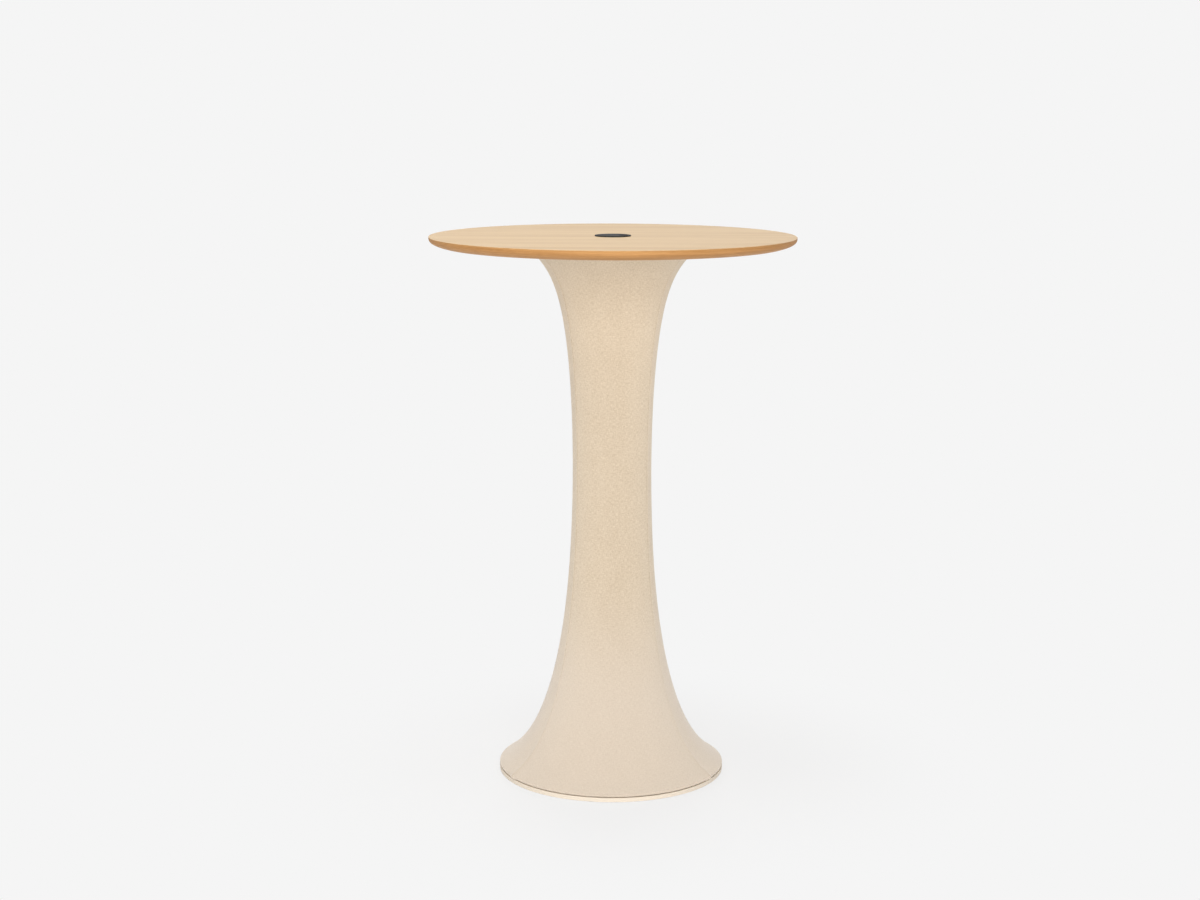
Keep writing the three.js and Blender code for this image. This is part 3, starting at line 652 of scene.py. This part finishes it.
def sleeve_path():
    """The sleeve's outer face as rows of (radius, height, face angle): out from the hem's turned-in
    end, round the hem, up the trumpet, round the upper ring and in under the top."""
    down = -math.pi / 2
    up = math.pi / 2
    hem_leave = sleeve_face_angle(HEM_HEIGHT + HEM_ROLL)
    roll_height = SLEEVE_TOP - TOP_ROLL
    top_leave = sleeve_face_angle(roll_height - TOP_ROLL)
    body_low = HEM_HEIGHT + HEM_BLEND
    meet = roll_height + TOP_ROLL * math.sin(top_leave)
    body_high = meet - TOP_BLEND
    top_centre = sleeve_radius(meet) - TOP_ROLL * math.cos(top_leave)
    share = (1 - np.cos(np.linspace(0, math.pi, SLEEVE_ROWS))) / 2
    height = body_low + (body_high - body_low) * share
    return np.concatenate([
        flat_path(HEM_CENTRE - HEM_TURN_IN * HEM_END_SHARES, HEM_HEIGHT - HEM_ROLL, down),
        roll_path(HEM_CENTRE, HEM_HEIGHT, HEM_ROLL, down, hem_leave, HEM_ROLL_ROWS),
        np.stack([sleeve_radius(height), height, sleeve_face_angle(height)], axis=-1),
        roll_path(top_centre, roll_height, TOP_ROLL, top_leave, up, TOP_ROLL_ROWS),
        flat_path(top_centre - TOP_TURN_IN * TOP_END_SHARES, SLEEVE_TOP, up),
    ])


def panel_turns(radius):
    """Angles of one panel's columns from its middle, for every row: close to a seam they keep a fixed
    distance from it in metres, and between they share the rest of the panel evenly."""
    near = SEAM_COLUMNS[None, :] / radius[:, None]
    share = np.linspace(0, 1, HALF_PANEL_COLUMNS - len(SEAM_COLUMNS) + 2)[1:]
    rest = near[:, -1:] + (PANEL_HALF - near[:, -1:]) * share[None, :]
    half = np.concatenate([near, rest], axis=1)
    return np.concatenate([half - PANEL_HALF, (PANEL_HALF - half)[:, -2::-1]], axis=1)


def seam_relief(path, away):
    """How far the outer face stands out near a seam: a narrow groove along the stitching, a shoulder
    to either side, and a ridge over the seam allowance that fades up from the hem, each as a bell
    curve of the distance away. It dies away under the hem and ends just below the top."""
    sizes = bpy.context.scene.table_sizes
    height, angle = path[:, 1:2], path[:, 2:3]
    groove = -sizes.seam_groove * np.exp(-(away / GROOVE_WIDTH) ** 2)
    shoulder = SHOULDER_HEIGHT * np.exp(-((away - SHOULDER_PLACE) / SHOULDER_WIDTH) ** 2)
    swell = RIDGE_LEAST + sizes.seam_ridge * np.exp(-(height - HEM_HEIGHT) / RIDGE_FADE)
    ridge = swell * np.exp(-(away / RIDGE_WIDTH) ** 2)
    under_hem = np.clip(-np.sin(angle), 0, 1) * (height < HEM_HEIGHT)
    return np.where(height < SEAM_END, (groove + shoulder + ridge) * (1 - under_hem), 0.0)


def hem_drop(path, away):
    """How far the lower half of the hem comes down at a seam, where the thick seam allowance closes
    the gap to the plate: all of the way under the roll, less and less towards its outermost line."""
    radius, height, angle = path[:, 0:1], path[:, 1:2], path[:, 2:3]
    lower_half = np.sqrt(np.clip(-angle / (math.pi / 2), 0, 1)) * (height < HEM_HEIGHT)
    reach = np.exp(-(np.clip(HEM_CENTRE - radius, 0, None) / SEAM_HEM_REACH) ** 2)
    to_plate = height - PLATE_HIGH.z - SEAM_HEM_GAP
    return to_plate * lower_half * reach * np.exp(-(away / SEAM_HEM_WIDTH) ** 4)


def make_sleeve():
    """The sewn sleeve as one closed grid: the outer face with its seams, and the inner face one
    fabric's thickness inside it. A point is radius (cos a, sin a) at its height, where a is the
    direction of its panel's middle plus the turn of its column."""
    outer = sleeve_path()
    inner = outer[::-1][::INNER_FACE_STRIDE]
    path = np.concatenate([outer, inner])
    is_outer = np.arange(len(path))[:, None] < len(outer)
    turns = panel_turns(path[:, 0])
    away = (PANEL_HALF - np.abs(turns)) * path[:, :1]
    proud = np.where(is_outer, seam_relief(path, away), -FABRIC)
    radius = path[:, :1] + proud * np.cos(path[:, 2:])
    height = path[:, 1:2] + proud * np.sin(path[:, 2:]) - hem_drop(path, away) * is_outer
    angle = np.concatenate([middle + turns[:, :-1] for middle in PANEL_MIDDLES], axis=1)
    radius = np.tile(radius[:, :-1], len(PANEL_MIDDLES))
    height = np.tile(height[:, :-1], len(PANEL_MIDDLES))
    points = np.stack([radius * np.cos(angle), radius * np.sin(angle), height], axis=-1)
    made = grid_object("fabric_sleeve", points, True)
    map_cloth(made, path, turns, away)
    shade_smooth(made)
    return made


def map_cloth(made, path, turns, away):
    """UV in metres, across each panel from its middle and along the sleeve's section, and every
    corner's distance from the nearest seam."""
    steps = np.hypot(*np.diff(path[:, :2], axis=0).T)
    along = np.concatenate([[0], np.cumsum(steps)])
    flat = np.stack([turns * path[:, :1], np.broadcast_to(along[:, None], turns.shape)], axis=-1)
    after = np.concatenate([flat[1:], flat[:1]])
    corners = np.stack([flat[:, :-1], flat[:, 1:], after[:, 1:], after[:, :-1]], axis=2)
    whole = np.concatenate([corners] * len(PANEL_MIDDLES), axis=1)
    cloth_map = made.data.uv_layers.new(name="on_cloth")
    cloth_map.data.foreach_set("uv", whole.reshape(-1).astype(np.float32))
    seam_distance = np.tile(away[:, :-1], len(PANEL_MIDDLES))
    from_seam = made.data.attributes.new("from_seam", "FLOAT", "POINT")
    from_seam.data.foreach_set("value", seam_distance.reshape(-1).astype(np.float32))


# Operators

class TABLE_OT_top(bpy.types.Operator):
    """Build the veneered top with its curved wooden edge"""

    bl_idname = "table.top"
    bl_label = "Table-top"

    def execute(self, context):
        sizes = context.scene.table_sizes
        veneer = lacquered_oak_veneer()
        low = VENEER_LOW.z
        arris = rounded_corner((sizes.top_radius, TOP_HEIGHT), sizes.arris_round, 0.0, math.pi / 2)
        profile = [
            (GROMMET_HOLE, low), (sizes.top_radius, low), *arris[1:], (GROMMET_HOLE, TOP_HEIGHT),
        ]
        face = turned("face_veneer_sheet", profile, TURNED_COLUMNS)
        shade_by_angle(face)
        finish_piece(face, "table_frame", veneer, "oak_veneer", "face_veneer")

        profile = self.lipping_profile(sizes.top_radius)
        lipping = turned("edge_lipping_band", profile, TURNED_COLUMNS)
        self.map_along_edge(lipping, profile)
        shade_by_angle(lipping)
        finish_piece(lipping, "table_frame", oiled_oak_lipping(), "oak_lipping", "edge_lipping")

        paint_nodes(veneer, "backing_veneer")
        paint_nodes(chip_board(), "tabletop_core")
        return {"FINISHED"}

    def lipping_profile(self, top_radius):
        """Section of the lipping: its outer edge draws in by the curve's width times the share of the
        depth to the curve's power."""
        height = np.linspace(UNDERSIDE, LIPPING_HIGH.z, EDGE_CURVE_ROWS)
        depth = (TOP_HEIGHT - height) / (TOP_HEIGHT - UNDERSIDE)
        radius = top_radius - EDGE_CURVE_WIDTH * depth ** EDGE_CURVE_POWER
        edge = np.stack([radius, height], axis=-1)
        return np.concatenate([[(LIPPING_INNER, UNDERSIDE)], edge, [(LIPPING_INNER, LIPPING_HIGH.z)]])

    def map_along_edge(self, lipping, profile):
        """UV in metres: the arc along the edge, and the distance along the profile."""
        closed = np.concatenate([profile, profile[:1]])
        across = np.concatenate([[0], np.cumsum(np.hypot(*np.diff(closed, axis=0).T))])
        along = np.linspace(0, 2 * math.pi * TOP_RADIUS, TURNED_COLUMNS + 1)
        flat = np.stack(np.meshgrid(along, across), axis=-1)
        corners = np.stack([flat[:-1, :-1], flat[:-1, 1:], flat[1:, 1:], flat[1:, :-1]], axis=2)
        edge_map = lipping.data.uv_layers.new(name="along_edge")
        edge_map.data.foreach_set("uv", corners.reshape(-1).astype(np.float32))


class TABLE_OT_grommet(bpy.types.Operator):
    """Build the cable grommet: its ring in the top, its cap and its turning cover"""

    bl_idname = "table.grommet"
    bl_label = "Cable grommet"

    def execute(self, context):
        # Moulded ABS with a fine spark-eroded grain, which softens the studio's reflection
        black = context.scene.table_colours.grommet
        plastic = grained_finish(
            "moulded_black_abs", black, roughness=0.55, grain=0.6 * MM, height=0.03 * MM, specular=0.1,
        )
        ring = self.make_ring(context.scene.table_sizes.flange_radius)
        shade_by_angle(ring)
        finish_piece(ring, "table_frame", plastic, "black_plastic", "grommet_sleeve")

        cover = self.make_cover()
        shade_by_angle(cover)
        finish_piece(cover, "grommet_cover", plastic, "black_plastic", "grommet_cover")
        paint_nodes(plastic, "grommet_cap")
        return {"FINISHED"}

    def make_ring(self, flange_radius):
        """A turned ring: a body in the top's hole, a flange with a rounded rim on the top's face, and a
        recess with a ledge that the cap rests on."""
        low, high = FLANGE_LOW.z, FLANGE_HIGH.z
        flange_low = TOP_HEIGHT + FLANGE_LIFT
        body = GROMMET_HOLE - RING_CLEARANCE
        profile = [
            (BORE_RADIUS, low),
            (body, low),
            (body, flange_low),
            (flange_radius, flange_low),
            *rounded_corner((flange_radius, high), FLANGE_ROUND, 0.0, math.pi / 2),
            (RECESS_RADIUS + 2 * RECESS_ROUND, high),
            (RECESS_RADIUS + RECESS_ROUND, high - RECESS_ROUND_SAG),
            (RECESS_RADIUS, high - RECESS_ROUND),
            (RECESS_RADIUS, LEDGE),
            (BORE_RADIUS, LEDGE),
        ]
        return turned("grommet_sleeve_ring", profile, SMALL_COLUMNS)

    def make_cover(self):
        """A turned disc with a rounded rim and a barbed pin, with the cable notch cut into it."""
        radius = COVER_HIGH.y
        low, high = COVER_LOW.z, COVER_HIGH.z
        profile = [
            (0, low),
            (PIN_RADIUS, low),
            (BARB_RADIUS, low + BARB_TAPER),
            (BARB_RADIUS, low + BARB_LENGTH),
            (PIN_RADIUS, low + BARB_LENGTH),
            (PIN_RADIUS, COVER_UNDERSIDE),
            (radius, COVER_UNDERSIDE),
            *rounded_corner((radius, high), COVER_ROUND, 0.0, math.pi / 2),
            (0, high),
        ]
        cover = turned("grommet_cover_disc", profile, SMALL_COLUMNS)
        notch_low = COVER_UNDERSIDE - OVERCUT
        notch_high = TOP_HEIGHT + 5 * OVERCUT
        notch = slot_prism(
            "notch_cutter", NOTCH_RADIUS, NOTCH_CENTRE, 2 * radius, notch_low, notch_high, 0.0,
        )
        cut_away(cover, [notch])
        return cover


class TABLE_OT_column(bpy.types.Operator):
    """Finish the steel column, its end plates, the sleeve's rings and all fasteners"""

    bl_idname = "table.column"
    bl_label = "Column and fasteners"

    def execute(self, context):
        # Powder coat on steel: matt black with a fine orange-peel ripple
        black = grained_finish(
            "matt_black_powder_coat", linear("#242424"), roughness=0.55, grain=1.2 * MM, height=0.04 * MM,
        )
        # Bright zinc plate: pale grey metal with a slightly satin shine
        zinc = grained_finish(
            "bright_zinc_plate", linear("#C2C5C8"), roughness=0.35, grain=0.5 * MM, height=0.01 * MM,
            metallic=1.0,
        )
        # Moulded nylon: dark grey, dull and slightly waxy
        nylon = grained_finish(
            "moulded_grey_nylon", linear("#565656"), roughness=0.55, grain=0.7 * MM, height=0.02 * MM,
        )
        paint_nodes(black, "column_")
        paint_nodes(zinc, "lower_sleeve_ring", "flange_bolt", "lower_ring_screw", "upper_ring_screw",
                    "top_plate_screw", "threaded_insert", "levelling_stud")
        paint_nodes(nylon, "ring_spacer", "levelling_pad")
        paint_nodes(birch_plywood(), "upper_sleeve_ring")
        return {"FINISHED"}


class TABLE_OT_base(bpy.types.Operator):
    """Build the round base plate with its holes and its cable slot"""

    bl_idname = "table.base"
    bl_label = "Base plate"

    def execute(self, context):
        sizes = context.scene.table_sizes
        # Powder coat on steel: ivory, with a fine orange-peel ripple and a soft shine
        coat = context.scene.table_colours.plate
        ivory = grained_finish(
            "ivory_powder_coat", coat, roughness=0.5, grain=1.4 * MM, height=0.05 * MM,
        )
        low, high, radius = PLATE_LOW.z, PLATE_HIGH.z, sizes.plate_radius
        lower = rounded_corner((radius, low), sizes.plate_chamfer, -math.pi / 2, 0.0)
        upper = rounded_corner((radius, high), sizes.plate_chamfer, 0.0, math.pi / 2)
        plate = turned("base_plate_disc", [(0, low), *lower, *upper, (0, high)], TURNED_COLUMNS)
        slot = slot_prism(
            "slot_cutter", CABLE_SLOT_RADIUS, CABLE_SLOT_INNER, CABLE_SLOT_OUTER_SHARE * radius,
            low - OVERCUT, high + OVERCUT, CABLE_SLOT_TURN,
        )
        cut_away(plate, [slot, *self.hole_cutters()])
        shade_by_angle(plate)
        finish_piece(plate, "table_frame", ivory, "ivory_powder_coat", "base_plate")
        return {"FINISHED"}

    def hole_cutters(self):
        """A turned cutter for every hole, spread evenly on the circles of the holes."""
        cutters = []
        for circle, count, first, steps in PLATE_HOLES:
            profile = [(0, steps[0][1] * MM), *(np.array(steps) * MM), (0, steps[-1][1] * MM)]
            for angle in first + np.arange(count) * 2 * math.pi / count:
                place = circle * MM * np.array([math.cos(angle), math.sin(angle)])
                cutters.append(turned("hole_cutter", profile, HOLE_COLUMNS, place))
        return cutters


class TABLE_OT_sleeve(bpy.types.Operator):
    """Build the stretched fabric sleeve with its three sewn seams"""

    bl_idname = "table.sleeve"
    bl_label = "Fabric sleeve"

    def execute(self, context):
        sleeve = make_sleeve()
        panels = [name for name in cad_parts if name.startswith("fabric_panel")]
        finish_piece(sleeve, "table_frame", melange_stretch_knit(), "stretch_fabric", *panels)
        return {"FINISHED"}


class TABLE_OT_stage(bpy.types.Operator):
    """Set up the pale floor, the white backdrop, the soft lights and the camera"""

    bl_idname = "table.stage"
    bl_label = "Studio"

    def execute(self, context):
        colours = context.scene.table_colours
        context.scene.view_settings.view_transform = "Standard"
        floor_points = turned_points([(FLOOR_RADIUS, 0), (FLOOR_RADIUS / 4, 0), (0, 0)], SMALL_COLUMNS)
        floor = grid_object("studio_floor", floor_points, False)
        merge_doubles(floor)
        floor.data.materials.append(self.floor_material(colours))
        self.light_world(context, colours)
        for softbox in SOFTBOXES:
            self.add_softbox(context, *softbox)
        self.add_camera(context)
        return {"FINISHED"}

    def seen_rays(self, tree):
        """1 for rays from the camera, from a shiny surface or through glass."""
        path = add_node(tree, "LightPath")
        shiny = add_node(tree, "Math", {
            0: path.outputs["Is Glossy Ray"], 1: path.outputs["Is Transmission Ray"],
        }, operation="MAXIMUM")
        seen = {0: path.outputs["Is Camera Ray"], 1: shiny.outputs[0]}
        return add_node(tree, "Math", seen, operation="MAXIMUM").outputs[0]

    def floor_material(self, colours):
        """A pale matt floor that catches the table's soft shadow and fades into the white backdrop. From
        below it is clear, so that the underside shows."""
        made = bpy.data.materials.new("pale_studio_floor")
        made.use_nodes = True
        tree = made.node_tree
        tree.nodes.clear()
        matt = add_node(tree, "BsdfDiffuse", {"Color": colours.floor})
        white = add_node(tree, "Emission", {"Color": colours.backdrop, "Strength": 1.0})
        place = add_node(tree, "TexCoord")
        reach = add_node(tree, "VectorMath", {0: place.outputs["Object"]}, operation="LENGTH")
        shadow = add_node(tree, "MapRange", {
            "Value": reach.outputs["Value"], "From Min": SHADOW_FADE[0], "From Max": SHADOW_FADE[1],
            "To Min": SHADOW_SHARE, "To Max": 0.0,
        }, interpolation_type="SMOOTHSTEP")
        shown = add_node(tree, "MixShader", {
            0: shadow.outputs[0], 1: white.outputs[0], 2: matt.outputs[0],
        })
        side = add_node(tree, "NewGeometry")
        clear = add_node(tree, "BsdfTransparent")
        open_below = add_node(tree, "MixShader", {
            0: side.outputs["Backfacing"], 1: shown.outputs[0], 2: clear.outputs[0],
        })
        surface = add_node(tree, "MixShader", {
            0: self.seen_rays(tree), 1: matt.outputs[0], 2: open_below.outputs[0],
        })
        add_node(tree, "OutputMaterial", {"Surface": surface.outputs[0]})
        return made

    def light_world(self, context, colours):
        """Even soft light from all round, behind a white backdrop."""
        world = bpy.data.worlds.new("white_studio")
        context.scene.world = world
        world.use_nodes = True
        tree = world.node_tree
        tree.nodes.clear()
        around = add_node(tree, "Background", {"Color": (1, 1, 1, 1), "Strength": AROUND_STRENGTH})
        backdrop = add_node(tree, "Background", {"Color": colours.backdrop, "Strength": 1.0})
        mixed = add_node(tree, "MixShader", {
            0: self.seen_rays(tree), 1: around.outputs[0], 2: backdrop.outputs[0],
        })
        add_node(tree, "OutputWorld", {"Surface": mixed.outputs[0]})

    def add_softbox(self, context, name, place, size, power):
        """A square soft light that faces the middle of the table, and that shiny surfaces don't mirror."""
        light = bpy.data.lights.new(name, "AREA")
        light.size = size
        light.energy = power
        lamp = bpy.data.objects.new(name, light)
        lamp.location = place
        lamp.visible_glossy = False
        toward = SOFTBOX_AIM - Vector(place)
        lamp.rotation_euler = toward.to_track_quat("-Z", "Y").to_euler()
        context.scene.collection.objects.link(lamp)

    def add_camera(self, context):
        """The photograph's camera: in front of the table, a little above it, tilted down and rolled."""
        camera = bpy.data.cameras.new("photo_camera")
        camera.sensor_fit = "HORIZONTAL"
        camera.sensor_width = SENSOR_WIDTH
        camera.lens = FOCAL_SHARE * SENSOR_WIDTH
        eye = bpy.data.objects.new("photo_camera", camera)
        tilt = Matrix.Rotation(math.pi / 2 - CAMERA_PITCH, 4, "X")
        roll = Matrix.Rotation(CAMERA_ROLL, 4, "Z")
        eye.matrix_world = Matrix.Translation(CAMERA_PLACE) @ tilt @ roll
        context.scene.collection.objects.link(eye)
        context.scene.camera = eye


OPERATORS = (
    TABLE_OT_top, TABLE_OT_grommet, TABLE_OT_column, TABLE_OT_base, TABLE_OT_sleeve, TABLE_OT_stage,
)


class TABLE_PT_panel(bpy.types.Panel):
    """Sizes, colours and pieces of the table"""

    bl_idname = "TABLE_PT_panel"
    bl_label = "Standing meeting table"
    bl_space_type = "VIEW_3D"
    bl_region_type = "UI"
    bl_category = "Table"

    def draw(self, context):
        for group in (context.scene.table_sizes, context.scene.table_colours):
            for name in group.__annotations__:
                self.layout.prop(group, name)
        for operator in OPERATORS:
            self.layout.operator(operator.bl_idname)


CLASSES = (TableSizes, TableColours, *OPERATORS, TABLE_PT_panel)


def register():
    """Registers the classes, and gives the scene its sizes and colours."""
    for made in CLASSES:
        bpy.utils.register_class(made)
    bpy.types.Scene.table_sizes = bpy.props.PointerProperty(type=TableSizes)
    bpy.types.Scene.table_colours = bpy.props.PointerProperty(type=TableColours)


def unregister():
    """Takes back what register gave."""
    del bpy.types.Scene.table_colours
    del bpy.types.Scene.table_sizes
    for made in reversed(CLASSES):
        bpy.utils.unregister_class(made)


def main():
    """Builds every piece and the studio."""
    register()
    bpy.ops.table.top()
    bpy.ops.table.grommet()
    bpy.ops.table.column()
    bpy.ops.table.base()
    bpy.ops.table.sleeve()
    bpy.ops.table.stage()


if __name__ == "__main__":
    main()
